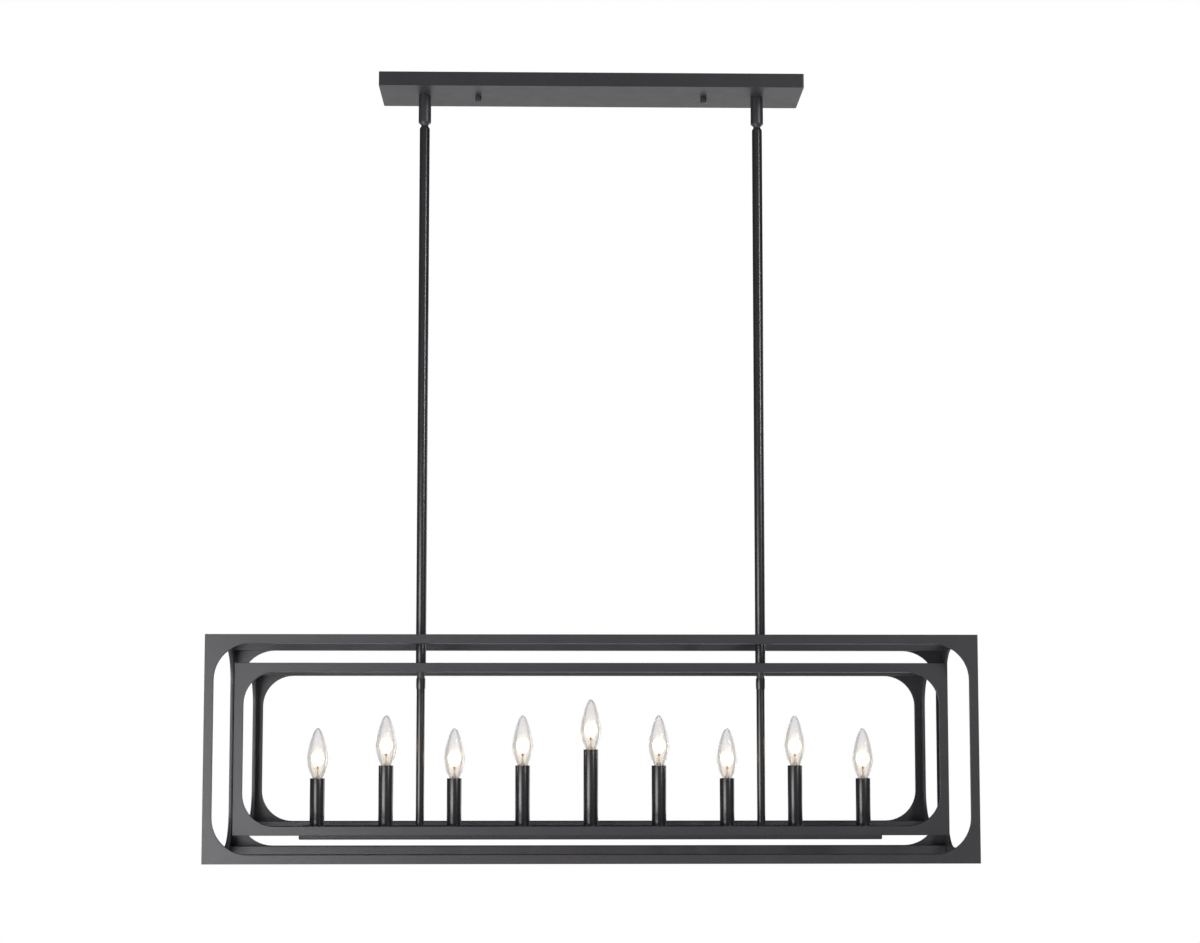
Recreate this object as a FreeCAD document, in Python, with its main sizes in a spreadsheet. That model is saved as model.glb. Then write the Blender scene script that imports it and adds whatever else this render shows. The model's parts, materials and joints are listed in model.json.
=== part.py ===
"""Linear island pendant: two nested open cages under a long canopy, with nine candle lights.

All sizes are millimetres. X runs along the canopy, Y from the front of the fixture to its back
(the front faces -Y) and Z up. The origin is the centre of the mounting bracket's upper face,
which lies against the ceiling, so the whole fixture hangs below Z = 0.
"""
import FreeCAD, Part
import math
import os
import re
import Sketcher

# ---------------------------------------------------------------- driving sizes
# Each size is set here once. The note says what it measures.
SIZES = {
    "canopy_overhang": (70.0, "canopy past the centre of a rod, along X"),
    "canopy_depth": (120.6, "front to back of the canopy"),
    "canopy_height": (22.4, "ceiling to the canopy's underside"),
    "canopy_wall": (1.2, "sheet of the canopy"),
    "canopy_corner": (2.5, "outer radius of the canopy's upright corners"),
    "bracket_overhang": (18.5, "mounting bracket past the centre of a stud, along X"),
    "bracket_width": (30.0, "mounting bracket, front to back"),
    "bracket_thick": (2.0, "sheet of the mounting bracket"),
    "slot_spacing": (88.9, "centre to centre of the outlet-box slots"),
    "slot_length": (14.0, "end to end of an outlet-box slot"),
    "slot_width": (4.6, "width of an outlet-box slot"),
    "anchor_spacing": (300.0, "centre to centre of the ceiling anchor holes"),
    "anchor_radius": (2.6, "ceiling anchor hole"),
    "ground_place": (20.0, "ground screw, from the middle of the bracket"),
    "ground_radius": (2.0, "ground screw thread"),
    "ground_head": (3.8, "radius of the ground screw's head"),
    "ground_length": (8.0, "ground screw under its head"),
    "knob_spacing": (363.0, "centre to centre of the canopy knobs"),
    "knob_radius": (5.0, "canopy knob"),
    "knob_length": (9.5, "canopy knob below the canopy"),
    "knob_chamfer": (1.5, "bevel at the canopy knob's foot"),
    "knob_relief": (0.3, "empty bore past the stud's end"),
    "stud_radius": (2.0, "M4 stud that holds the canopy"),
    "stud_reach": (7.0, "stud inside its knob"),
    "stud_hole_gap": (0.3, "canopy's hole round a stud, on the radius"),
    "stud_nut_radius": (4.0, "stud's lock nut across its corners, as a radius"),
    "stud_nut_height": (3.0, "stud's lock nut"),
    "thread_gap": (0.05, "running clearance of a screw thread, on the radius"),
    "fit_gap": (0.1, "clearance of a fixed tube or stem in its hole, on the radius"),
    "collar_radius": (10.0, "swivel collar"),
    "collar_length": (45.1, "swivel collar below the canopy"),
    "ball_radius": (8.5, "swivel ball"),
    "ball_gap": (0.06, "running clearance of the ball in its seat"),
    "lip_height": (3.5, "ball centre above the collar's lower lip"),
    "spigot_radius": (4.95, "threaded spigot through the canopy"),
    "spigot_length": (10.0, "spigot above the canopy's underside"),
    "plug_length": (12.0, "plug of the spigot inside the collar"),
    "wire_bore": (3.0, "wire way through the swivel"),
    "spigot_nut_radius": (9.0, "spigot's lock nut across its corners, as a radius"),
    "spigot_nut_height": (4.0, "spigot's lock nut"),
    "washer_radius": (11.0, "washer under the spigot's lock nut"),
    "washer_thick": (1.0, "washer under the spigot's lock nut"),
    "neck_radius": (5.5, "neck under the swivel ball"),
    "neck_drop": (4.8, "collar's lip to the rod's cap"),
    "cap_height": (4.0, "tapered cap on top of a rod"),
    "cap_plug": (14.0, "cap's plug inside the rod"),
    "rod_radius": (8.0, "rod, outside"),
    "rod_bore": (6.35, "rod, inside radius"),
    "rod_length": (819.7, "rod from its cap to the outer cage's strap"),
    "nipple_radius": (6.25, "threaded nipple through both straps"),
    "nipple_bore": (4.4, "wire way through the nipple"),
    "nipple_grip": (14.0, "nipple inside the rod"),
    "outer_length": (1168.0, "outer cage, along X"),
    "outer_depth": (305.0, "outer cage, along Y"),
    "outer_height": (344.0, "outer cage, along Z"),
    "outer_round": (55.0, "corner radius of the outer cage's windows"),
    "inner_length": (1086.0, "inner cage, along X"),
    "inner_depth": (240.0, "inner cage, along Y"),
    "inner_height": (261.0, "inner cage, along Z"),
    "inner_round": (49.0, "corner radius of the inner cage's windows"),
    "cage_drop": (42.0, "top of the outer cage to the top of the inner cage"),
    "frame_face": (13.8, "width of a frame's border seen from the front"),
    "frame_plate": (4.0, "plate that a frame is cut from"),
    "end_leg": (24.0, "width of a corner post seen from the end"),
    "rail_depth": (20.0, "square rail welded behind a frame's border"),
    "rail_wall": (1.5, "wall of that rail"),
    "strap_width": (32.0, "cross strap that carries a cage"),
    "strap_thick": (3.0, "cross strap that carries a cage"),
    "strap_nut_radius": (11.0, "nut under the inner strap across its corners, as a radius"),
    "strap_nut_height": (6.0, "nut under the inner strap"),
    "coupling_drop": (20.7, "inner cage's top to the stem coupling"),
    "coupling_radius": (7.2, "stem coupling"),
    "coupling_length": (16.7, "stem coupling"),
    "coupling_grip": (8.0, "nipple or stem inside the coupling"),
    "coupling_chamfer": (0.6, "bevel on the coupling's top"),
    "stem_radius": (6.5, "lower stem, outside"),
    "stem_bore": (5.5, "lower stem, inside radius"),
    "tray_rise": (10.0, "candle tray's top above the inner cage's underside"),
    "tray_length": (906.0, "candle tray, along X"),
    "tray_width": (60.0, "candle tray, along Y"),
    "tray_height": (18.0, "candle tray without its cover"),
    "tray_wall": (1.2, "sheet of the candle tray"),
    "cover_thick": (2.0, "cover plate under the tray"),
    "cover_round": (1.4, "rounded lower ends of the cover plate"),
    "tray_screw_radius": (5.3, "hollow screw that holds the tray to a stem"),
    "tray_screw_reach": (12.0, "hollow screw inside the stem"),
    "tray_screw_head": (9.0, "head of the hollow screw across its corners, as a radius"),
    "tray_screw_height": (4.0, "head of the hollow screw"),
    "candle_inset": (25.0, "centre of the last candle to the tray's end"),
    "sleeve_low": (74.0, "short candle sleeve"),
    "sleeve_mid": (94.0, "middle candle sleeve"),
    "sleeve_high": (119.0, "tall candle sleeve"),
    "sleeve_radius": (11.5, "candle sleeve, outside"),
    "sleeve_wall": (1.0, "wall of a candle sleeve"),
    "sleeve_bevel": (0.7, "bevel round a candle sleeve's rim"),
    "socket_radius": (9.8, "lamp socket"),
    "socket_length": (28.0, "lamp socket"),
    "socket_recess": (4.0, "socket's mouth below the sleeve's rim"),
    "socket_depth": (19.0, "depth of the socket's threaded bore"),
    "riser_radius": (4.85, "threaded riser under a socket"),
    "riser_bore": (3.2, "wire way through a riser"),
    "riser_grip": (6.0, "riser inside the socket's foot"),
    "riser_tail": (7.0, "riser below the tray's top sheet"),
    "riser_seat": (8.5, "radius of the riser's seat on the tray"),
    "seat_thick": (1.5, "riser's seat on the tray"),
    "base_radius": (5.95, "screw base of a bulb"),
    "base_length": (16.0, "screw base of a bulb"),
    "contact_radius": (2.4, "contact under the screw base"),
    "contact_length": (1.6, "contact under the screw base"),
    "cup_radius": (7.6, "cup that joins a bulb's base to its glass"),
    "cup_height": (3.0, "cup, above the socket's mouth"),
    "cup_gap": (0.3, "air between the cup and the socket's mouth"),
    "bulb_neck": (7.4, "glass where it stands on its cup"),
    "bulb_radius": (16.25, "widest part of a bulb"),
    "bulb_height": (79.5, "glass of a bulb"),
    "belly_height": (32.0, "widest part above the neck"),
    "flare_out": (3.4, "how far the neck's curve aims outwards"),
    "flare_up": (12.3, "how far the neck's curve aims upwards"),
    "belly_below": (13.2, "how far the upright stretch pulls the curve below the widest part"),
    "belly_above": (6.0, "the same above the widest part"),
    "tip_spread": (8.9, "how far the tip's level stretch pulls the curve outwards"),
    "glass_wall": (0.8, "glass of a bulb"),
}

# The candles from left to right, by the size that gives each sleeve's height.
CANDLES = ["low", "mid", "low", "mid", "high", "mid", "low", "mid", "low"]

# A rod stands midway between two candles, this many candle steps from the middle.
ROD_STEPS = 2.5

SIDES = {"left": "-", "right": "+"}

doc = FreeCAD.newDocument("island_pendant")
sheet = doc.addObject("Spreadsheet::Sheet", "Sizes")
for row, (alias, (number, note)) in enumerate(SIZES.items(), start=1):
    sheet.set(f"A{row}", alias)
    sheet.set(f"B{row}", str(number))
    sheet.set(f"C{row}", note)
    sheet.setAlias(f"B{row}", alias)
doc.recompute()

nodes = {}


# ---------------------------------------------------------------- helpers
def sized(text):
    """Turn an expression in plain size names into one that reads the sheet."""
    return re.sub(r"[a-z_]{3,}", lambda word: f"Sizes.{word.group(0)}", text)


def value(text):
    """The number that an expression in size names has now."""
    return float(sheet.evalExpression(sized(text)))


def place(thing, x="0", y="0", z="0"):
    """Bind an object's place to the sheet."""
    for axis, text in (("x", x), ("y", y), ("z", z)):
        thing.setExpression(f"Placement.Base.{axis}", sized(text))
    return thing


def primitive(kind, name, sizes, at=("0", "0", "0")):
    """One of Part's own solids, with its sizes and its place bound to the sheet."""
    thing = doc.addObject(kind, name)
    for property_name, text in sizes.items():
        thing.setExpression(property_name, sized(text))
    return place(thing, *at)


def box(name, size, low):
    """A box by its three sizes and its lowest corner."""
    return primitive("Part::Box", name, dict(zip(("Length", "Width", "Height"), size)), low)


def cylinder(name, radius, height, foot):
    """An upright cylinder by the centre of its foot."""
    return primitive("Part::Cylinder", name, {"Radius": radius, "Height": height}, foot)


def hexagon(name, radius, height, foot):
    """An upright six-sided prism by the centre of its foot; radius is to its corners."""
    prism = primitive("Part::Prism", name, {"Circumradius": radius, "Height": height}, foot)
    prism.Polygon = 6
    return prism


def fuse(name, pieces):
    """Join solids that are one piece of metal."""
    joined = doc.addObject("Part::MultiFuse", name)
    joined.Shapes = pieces
    joined.Refine = True
    return joined


def cut(name, base, tool):
    """Take one solid out of another."""
    rest = doc.addObject("Part::Cut", name)
    rest.Base = base
    rest.Tool = tool
    return rest


def tube(name, outside, inside, height, foot):
    """An upright tube by the centre of its foot."""
    skin = cylinder(f"{name}_outside", outside, height, foot)
    hollow = cylinder(f"{name}_inside", inside, height, foot)
    return cut(name, skin, hollow)


def group(name, pieces):
    """Separate solids that share one node."""
    together = doc.addObject("Part::Compound", name)
    together.Links = pieces
    return together


def keep(thing, node):
    """Name a finished sub-part."""
    thing.Label = node
    nodes[node] = thing


def new_sketch(body, name, role, lift="0"):
    """A sketch on one of the body's own origin planes, lifted along its normal."""
    sketch = body.newObject("Sketcher::SketchObject", name)
    planes = [plane for plane in body.Origin.OriginFeatures if plane.Role == role]
    sketch.AttachmentSupport = (planes[0], [""])
    sketch.MapMode = "FlatFace"
    sketch.setExpression("AttachmentOffset.Base.z", sized(lift))
    return sketch


def pin(sketch, geometry, end, across, up):
    """Fix one end of a line by its distances from the sketch's origin."""
    for kind, text in (("DistanceX", across), ("DistanceY", up)):
        rule = Sketcher.Constraint(kind, -1, 1, geometry, end, value(text))
        index = sketch.addConstraint(rule)
        label = f"{kind}_{geometry}_{end}"
        sketch.renameConstraint(index, label)
        sketch.setExpression(f"Constraints.{label}", sized(text))


def draw_circle(sketch, across, up, radius):
    """A circle by its centre and radius."""
    centre = FreeCAD.Vector(value(across), value(up), 0)
    ring = Part.Circle(centre, FreeCAD.Vector(0, 0, 1), value(radius))
    geometry = sketch.addGeometry(ring)
    pin(sketch, geometry, 3, across, up)
    index = sketch.addConstraint(Sketcher.Constraint("Radius", geometry, value(radius)))
    sketch.renameConstraint(index, f"Radius_{geometry}")
    sketch.setExpression(f"Constraints.Radius_{geometry}", sized(radius))


def draw_polygon(sketch, corners):
    """A closed outline of straight lines through (across, up) corners."""
    spots = [FreeCAD.Vector(value(across), value(up), 0) for across, up in corners]
    first = sketch.GeometryCount
    count = len(corners)
    for index in range(count):
        line = Part.LineSegment(spots[index], spots[(index + 1) % count])
        sketch.addGeometry(line)
    for index, (across, up) in enumerate(corners):
        following = first + (index + 1) % count
        sketch.addConstraint(Sketcher.Constraint("Coincident", first + index, 2, following, 1))
        pin(sketch, first + index, 1, across, up)


def draw_rounded(sketch, low, high, radius):
    """A rectangle between two (across, up) corners, with all four corners rounded."""
    west, south = low
    east, north = high
    inset = f"({radius})"
    # Each side runs anticlockwise from its first point to its second.
    sides = [
        ((f"{west} + {inset}", south), (f"{east} - {inset}", south)),
        ((east, f"{south} + {inset}"), (east, f"{north} - {inset}")),
        ((f"{east} - {inset}", north), (f"{west} + {inset}", north)),
        ((west, f"{north} - {inset}"), (west, f"{south} + {inset}")),
    ]
    # The arc that follows each side turns about this point.
    centres = [
        (f"{east} - {inset}", f"{south} + {inset}"),
        (f"{east} - {inset}", f"{north} - {inset}"),
        (f"{west} + {inset}", f"{north} - {inset}"),
        (f"{west} + {inset}", f"{south} + {inset}"),
    ]
    first = sketch.GeometryCount
    for start, end in sides:
        tail = FreeCAD.Vector(value(start[0]), value(start[1]), 0)
        tip = FreeCAD.Vector(value(end[0]), value(end[1]), 0)
        sketch.addGeometry(Part.LineSegment(tail, tip))
    for index, (across, up) in enumerate(centres):
        middle = FreeCAD.Vector(value(across), value(up), 0)
        ring = Part.Circle(middle, FreeCAD.Vector(0, 0, 1), value(radius))
        opening = (index - 1) * math.pi / 2
        sketch.addGeometry(Part.ArcOfCircle(ring, opening, opening + math.pi / 2))
    for index, (start, end) in enumerate(sides):
        side = first + index
        arc = first + 4 + index
        following = first + (index + 1) % 4
        pin(sketch, side, 1, *start)
        pin(sketch, side, 2, *end)
        sketch.addConstraint(Sketcher.Constraint("Coincident", side, 2, arc, 1))
        sketch.addConstraint(Sketcher.Constraint("Coincident", arc, 2, following, 1))
        rule = sketch.addConstraint(Sketcher.Constraint("Radius", arc, value(radius)))
        sketch.renameConstraint(rule, f"Radius_{arc}")
        sketch.setExpression(f"Constraints.Radius_{arc}", sized(radius))


def draw_rectangle(sketch, low, high):
    """A sharp-cornered rectangle between two (across, up) corners."""
    west, south = low
    east, north = high
    draw_polygon(sketch, [(west, south), (east, south), (east, north), (west, north)])


def pad(body, sketch, length, side="One side"):
    """Add a sketch's area to the body, along the sketch's normal or evenly to both sides."""
    feature = body.newObject("PartDesign::Pad", f"{sketch.Name}_pad")
    feature.Profile = sketch
    feature.SideType = side
    feature.setExpression("Length", sized(length))
    body.Tip = feature
    return feature


def pocket(body, sketch, length, reverse=False):
    """Cut a sketch's area out of the body, and see that something came off."""
    doc.recompute()
    before = body.Shape.Volume
    feature = body.newObject("PartDesign::Pocket", f"{sketch.Name}_pocket")
    feature.Profile = sketch
    feature.Reversed = reverse
    feature.setExpression("Length", sized(length))
    body.Tip = feature
    doc.recompute()
    if body.Shape.Volume >= before:
        raise RuntimeError(f"{feature.Name} cuts nothing")
    return feature


def turned(name, profile):
    """A body turned about Z from a closed outline of (radius, height) corners."""
    body = doc.addObject("PartDesign::Body", name)
    sketch = new_sketch(body, f"{name}_profile", "XZ_Plane")
    draw_polygon(sketch, profile)
    turn = body.newObject("PartDesign::Revolution", f"{name}_turn")
    turn.Profile = sketch
    turn.ReferenceAxis = (sketch, ["V_Axis"])
    turn.Angle = 360
    body.Tip = turn
    return body


# ---------------------------------------------------------------- places and heights
CANDLE_STEP = f"(tray_length - 2 * candle_inset) / {len(CANDLES) - 1}"
ROD_PLACE = f"{ROD_STEPS} * {CANDLE_STEP}"
CANOPY_END = f"({ROD_PLACE} + canopy_overhang)"
BRACKET_END = "(knob_spacing / 2 + bracket_overhang)"
CANOPY_FOOT = "-canopy_height"
COLLAR_FOOT = f"{CANOPY_FOOT} - collar_length"
BALL_CENTRE = f"{COLLAR_FOOT} + lip_height"
CAP_TOP = f"{COLLAR_FOOT} - neck_drop"
ROD_TOP = f"{CAP_TOP} - cap_height"
OUTER_TOP = f"{ROD_TOP} - rod_length"
INNER_TOP = f"{OUTER_TOP} - cage_drop"
COUPLING_TOP = f"{INNER_TOP} - coupling_drop"
CAGE_TOPS = {"outer": OUTER_TOP, "inner": INNER_TOP}
INNER_FOOT = f"{INNER_TOP} - inner_height"
TRAY_TOP = f"{INNER_FOOT} + tray_rise"
TRAY_FOOT = f"{TRAY_TOP} - tray_height"


def rod_x(side):
    """Where the left or right rod stands along X."""
    return f"{SIDES[side]}{ROD_PLACE}"


def knob_x(side):
    """Where the left or right canopy knob stands along X."""
    return f"{SIDES[side]}knob_spacing / 2"


# ---------------------------------------------------------------- ceiling mount
def make_bracket():
    """The strap that is screwed to the outlet box and carries the canopy's studs."""
    body = doc.addObject("PartDesign::Body", "bracket")
    plate = new_sketch(body, "bracket_plate", "XY_Plane")
    draw_rectangle(
        plate,
        (f"-{BRACKET_END}", "-bracket_width / 2"),
        (BRACKET_END, "bracket_width / 2"),
    )
    pad(body, plate, "bracket_thick")
    holes = new_sketch(body, "bracket_holes", "XY_Plane")
    for sign in SIDES.values():
        draw_circle(holes, f"{sign}anchor_spacing / 2", "0", "anchor_radius")
        draw_circle(holes, f"{sign}knob_spacing / 2", "0", "stud_radius + thread_gap")
    draw_circle(holes, "ground_place", "0", "ground_radius + thread_gap")
    pocket(body, holes, "bracket_thick", reverse=True)
    # Each slot is a straight run between two round ends, cut one after the other.
    for side, sign in SIDES.items():
        middle = f"{sign}slot_spacing / 2"
        half_run = "(slot_length - slot_width) / 2"
        straight = new_sketch(body, f"slot_{side}", "XY_Plane")
        draw_rectangle(
            straight,
            (f"{middle} - {half_run}", "-slot_width / 2"),
            (f"{middle} + {half_run}", "slot_width / 2"),
        )
        pocket(body, straight, "bracket_thick", reverse=True)
        for end, shift in (("near", "-"), ("far", "+")):
            rounded = new_sketch(body, f"slot_{side}_{end}", "XY_Plane")
            draw_circle(rounded, f"{middle} {shift} {half_run}", "0", "slot_width / 2")
            pocket(body, rounded, "bracket_thick", reverse=True)
    keep(place(body, z="-bracket_thick"), "mounting_bracket")


def make_ground_screw():
    """The screw for the ground wire, driven up into the bracket."""
    profile = [
        ("0", "-ground_length"),
        ("ground_head", "-ground_length"),
        ("ground_head", "-ground_length + ground_radius"),
        ("ground_radius", "-ground_length + ground_radius"),
        ("ground_radius", "0"),
        ("0", "0"),
    ]
    keep(place(turned("ground", profile), x="ground_place"), "ground_screw")


def make_studs():
    """Two studs with lock nuts, down from the bracket into the canopy's knobs."""
    studs = []
    for side in SIDES:
        x = knob_x(side)
        foot = f"{CANOPY_FOOT} - stud_reach"
        length = "canopy_height + stud_reach"
        shank = cylinder(f"stud_{side}_shank", "stud_radius", length, (x, "0", foot))
        nut_foot = "-bracket_thick - stud_nut_height"
        nut = hexagon(f"stud_{side}_nut", "stud_nut_radius", "stud_nut_height", (x, "0", nut_foot))
        studs.append(fuse(f"stud_{side}", [shank, nut]))
    keep(group("studs", studs), "canopy_studs")


def make_canopy():
    """The shallow tray of sheet steel that covers the outlet box."""
    body = doc.addObject("PartDesign::Body", "canopy_shell")
    block = new_sketch(body, "canopy_outside", "XY_Plane")
    low = (f"-{CANOPY_END}", "-canopy_depth / 2")
    high = (CANOPY_END, "canopy_depth / 2")
    draw_rounded(block, low, high, "canopy_corner")
    pad(body, block, "canopy_height")
    hollow = new_sketch(body, "canopy_inside", "XY_Plane", lift="canopy_wall")
    low = (f"-{CANOPY_END} + canopy_wall", "-canopy_depth / 2 + canopy_wall")
    high = (f"{CANOPY_END} - canopy_wall", "canopy_depth / 2 - canopy_wall")
    draw_rounded(hollow, low, high, "canopy_corner - canopy_wall")
    pocket(body, hollow, "canopy_height - canopy_wall", reverse=True)
    holes = new_sketch(body, "canopy_holes", "XY_Plane")
    for side in SIDES:
        draw_circle(holes, knob_x(side), "0", "stud_radius + stud_hole_gap")
        draw_circle(holes, rod_x(side), "0", "spigot_radius + fit_gap")
    pocket(body, holes, "canopy_wall", reverse=True)
    keep(place(body, z=CANOPY_FOOT), "canopy")


def make_knobs():
    """The two round nuts that hold the canopy up against the ceiling."""
    bore = "stud_radius + thread_gap"
    bore_end = "-stud_reach - knob_relief"
    profile = [
        (bore, "0"),
        ("knob_radius", "0"),
        ("knob_radius", "-knob_length + knob_chamfer"),
        ("knob_radius - knob_chamfer", "-knob_length"),
        ("0", "-knob_length"),
        ("0", bore_end),
        (bore, bore_end),
    ]
    for side in SIDES:
        knob = turned(f"knob_{side}", profile)
        keep(place(knob, x=knob_x(side), z=CANOPY_FOOT), f"canopy_knob_{side}")


# ---------------------------------------------------------------- swivels
def make_swivel_studs():
    """Hollow spigots from the collars up through the canopy, each with a washer and a nut."""
    spigots = []
    nuts = []
    for side in SIDES:
        x = rod_x(side)
        foot = f"{CANOPY_FOOT} - plug_length"
        plug = cylinder(f"plug_{side}", "ball_radius", "plug_length", (x, "0", foot))
        spigot = cylinder(
            f"spigot_{side}", "spigot_radius", "plug_length + spigot_length", (x, "0", foot)
        )
        joined = fuse(f"spigot_{side}_whole", [plug, spigot])
        way = cylinder(
            f"spigot_{side}_way", "wire_bore", "plug_length + spigot_length", (x, "0", foot)
        )
        spigots.append(cut(f"spigot_{side}_bored", joined, way))
        washer_foot = f"{CANOPY_FOOT} + canopy_wall"
        washer = cylinder(
            f"washer_{side}", "washer_radius", "washer_thick", (x, "0", washer_foot)
        )
        nut_foot = f"{washer_foot} + washer_thick"
        nut = hexagon(
            f"spigot_nut_{side}", "spigot_nut_radius", "spigot_nut_height", (x, "0", nut_foot)
        )
        stack = fuse(f"spigot_nut_{side}_whole", [washer, nut])
        bore = cylinder(
            f"spigot_nut_{side}_bore",
            "spigot_radius + fit_gap",
            "washer_thick + spigot_nut_height",
            (x, "0", washer_foot),
        )
        nuts.append(cut(f"spigot_nut_{side}_bored", stack, bore))
    keep(group("swivel_spigots", spigots), "swivel_spigots")
    keep(group("swivel_nuts", nuts), "swivel_lock_nuts")


def make_collars():
    """The round collars that hold the swivel balls."""
    seat = "ball_radius + ball_gap"
    for side in SIDES:
        x = rod_x(side)
        skin = cylinder(
            f"collar_{side}_skin", "collar_radius", "collar_length", (x, "0", COLLAR_FOOT)
        )
        bore = cylinder(
            f"collar_{side}_bore", seat, "collar_length - lip_height", (x, "0", BALL_CENTRE)
        )
        cup = primitive(
            "Part::Sphere", f"collar_{side}_cup", {"Radius": seat}, (x, "0", BALL_CENTRE)
        )
        hollow = fuse(f"collar_{side}_hollow", [bore, cup])
        keep(cut(f"collar_{side}", skin, hollow), f"swivel_collar_{side}")


def make_balls():
    """A ball, its neck and the tapered cap that closes the rod's top, turned in one piece."""
    for side in SIDES:
        x = rod_x(side)
        ball = primitive(
            "Part::Sphere", f"ball_{side}_ball", {"Radius": "ball_radius"}, (x, "0", BALL_CENTRE)
        )
        neck_length = "lip_height + neck_drop"
        neck = cylinder(f"ball_{side}_neck", "neck_radius", neck_length, (x, "0", CAP_TOP))
        cone_sizes = {"Radius1": "rod_radius", "Radius2": "neck_radius", "Height": "cap_height"}
        cap = primitive("Part::Cone", f"ball_{side}_cap", cone_sizes, (x, "0", ROD_TOP))
        plug_foot = f"{ROD_TOP} - cap_plug"
        plug = cylinder(
            f"ball_{side}_plug", "rod_bore - fit_gap", "cap_plug", (x, "0", plug_foot)
        )
        whole = fuse(f"ball_{side}_whole", [ball, neck, cap, plug])
        way_length = "cap_plug + cap_height + neck_drop + lip_height + ball_radius"
        way = cylinder(f"ball_{side}_way", "wire_bore", way_length, (x, "0", plug_foot))
        keep(cut(f"ball_{side}", whole, way), f"swivel_ball_{side}")


# ---------------------------------------------------------------- rods and stems
def make_rods():
    """The long rods down to the outer cage, and the short tubes between the two cages."""
    nipples = []
    nuts = []
    for side in SIDES:
        x = rod_x(side)
        rod = tube(f"rod_{side}", "rod_radius", "rod_bore", "rod_length", (x, "0", OUTER_TOP))
        keep(rod, f"rod_{side}")
        spacer = tube(
            f"spacer_{side}", "rod_radius", "rod_bore", "cage_drop - strap_thick",
            (x, "0", INNER_TOP),
        )
        keep(spacer, f"spacer_tube_{side}")
        nipple = tube(
            f"nipple_{side}", "nipple_radius", "nipple_bore",
            "nipple_grip + cage_drop + coupling_drop + coupling_grip",
            (x, "0", f"{COUPLING_TOP} - coupling_grip"),
        )
        nipples.append(nipple)
        nut_foot = f"{INNER_TOP} - strap_thick - strap_nut_height"
        nut = hexagon(
            f"strap_nut_{side}_block", "strap_nut_radius", "strap_nut_height", (x, "0", nut_foot)
        )
        bore = cylinder(
            f"strap_nut_{side}_bore", "nipple_radius + fit_gap", "strap_nut_height",
            (x, "0", nut_foot),
        )
        nuts.append(cut(f"strap_nut_{side}", nut, bore))
    keep(group("nipples", nipples), "rod_nipples")
    keep(group("strap_nut_pair", nuts), "strap_nuts")


def make_couplings():
    """The sleeves under the inner cage's top that join the nipples to the lower stems."""
    upper = "nipple_radius + fit_gap"
    lower = "stem_radius + fit_gap"
    step = "-coupling_grip"
    profile = [
        (upper, "0"),
        ("coupling_radius - coupling_chamfer", "0"),
        ("coupling_radius", "-coupling_chamfer"),
        ("coupling_radius", "-coupling_length"),
        (lower, "-coupling_length"),
        (lower, step),
        (upper, step),
    ]
    for side in SIDES:
        sleeve = turned(f"coupling_{side}", profile)
        keep(place(sleeve, x=rod_x(side), z=COUPLING_TOP), f"stem_coupling_{side}")


def make_stems():
    """The thinner stems from the couplings to the candle tray, and their hollow screws."""
    screws = []
    for side in SIDES:
        x = rod_x(side)
        length = f"({COUPLING_TOP} - coupling_grip) - ({TRAY_TOP})"
        stem = tube(f"stem_{side}", "stem_radius", "stem_bore", length, (x, "0", TRAY_TOP))
        keep(stem, f"lower_stem_{side}")
        under_sheet = f"{TRAY_TOP} - tray_wall"
        shank = cylinder(
            f"tray_screw_{side}_shank", "tray_screw_radius", "tray_wall + tray_screw_reach",
            (x, "0", under_sheet),
        )
        head_foot = f"{under_sheet} - tray_screw_height"
        head = hexagon(
            f"tray_screw_{side}_head", "tray_screw_head", "tray_screw_height",
            (x, "0", head_foot),
        )
        whole = fuse(f"tray_screw_{side}_whole", [shank, head])
        way = cylinder(
            f"tray_screw_{side}_way", "wire_bore",
            "tray_screw_height + tray_wall + tray_screw_reach", (x, "0", head_foot),
        )
        screws.append(cut(f"tray_screw_{side}", whole, way))
    keep(group("tray_screw_pair", screws), "tray_screws")


# ---------------------------------------------------------------- cages
def make_long_frame(cage, face, sign):
    """A front or back frame: a plate with one rounded window, and a rail along each long edge."""
    length = f"{cage}_length"
    height = f"{cage}_height"
    name = f"{cage}_{face}"
    plate = doc.addObject("PartDesign::Body", f"{name}_plate")
    border = new_sketch(plate, f"{name}_border", "XZ_Plane")
    draw_rectangle(
        border, (f"-{length} / 2", f"-{height} / 2"), (f"{length} / 2", f"{height} / 2")
    )
    low = (f"-{length} / 2 + frame_face", f"-{height} / 2 + frame_face")
    high = (f"{length} / 2 - frame_face", f"{height} / 2 - frame_face")
    draw_rounded(border, low, high, f"{cage}_round")
    pad(plate, border, "frame_plate", "Symmetric")
    # The rails lie on the plate's inner side, which is towards +Y on a front frame.
    inward = "-" if sign == "+" else "+"
    near = f"{inward}frame_plate / 2"
    far = f"{near} {inward} rail_depth"
    near_hollow = f"{near} {inward} rail_wall"
    far_hollow = f"{far} {sign} rail_wall"
    welded = [plate]
    for edge, foot, top in (
        ("top", f"{height} / 2 - frame_face", f"{height} / 2"),
        ("foot", f"-{height} / 2", f"-{height} / 2 + frame_face"),
    ):
        rail = doc.addObject("PartDesign::Body", f"{name}_rail_{edge}")
        section = new_sketch(rail, f"{name}_section_{edge}", "YZ_Plane")
        draw_rectangle(section, (near, foot), (far, top))
        draw_rectangle(
            section, (near_hollow, f"{foot} + rail_wall"), (far_hollow, f"{top} - rail_wall")
        )
        pad(rail, section, f"{length} - 2 * frame_plate", "Symmetric")
        welded.append(rail)
    y = f"{sign}({cage}_depth - frame_plate) / 2"
    middle = f"{CAGE_TOPS[cage]} - {height} / 2"
    keep(place(group(f"{name}_welded", welded), y=y, z=middle), f"{cage}_{face}_frame")


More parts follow.
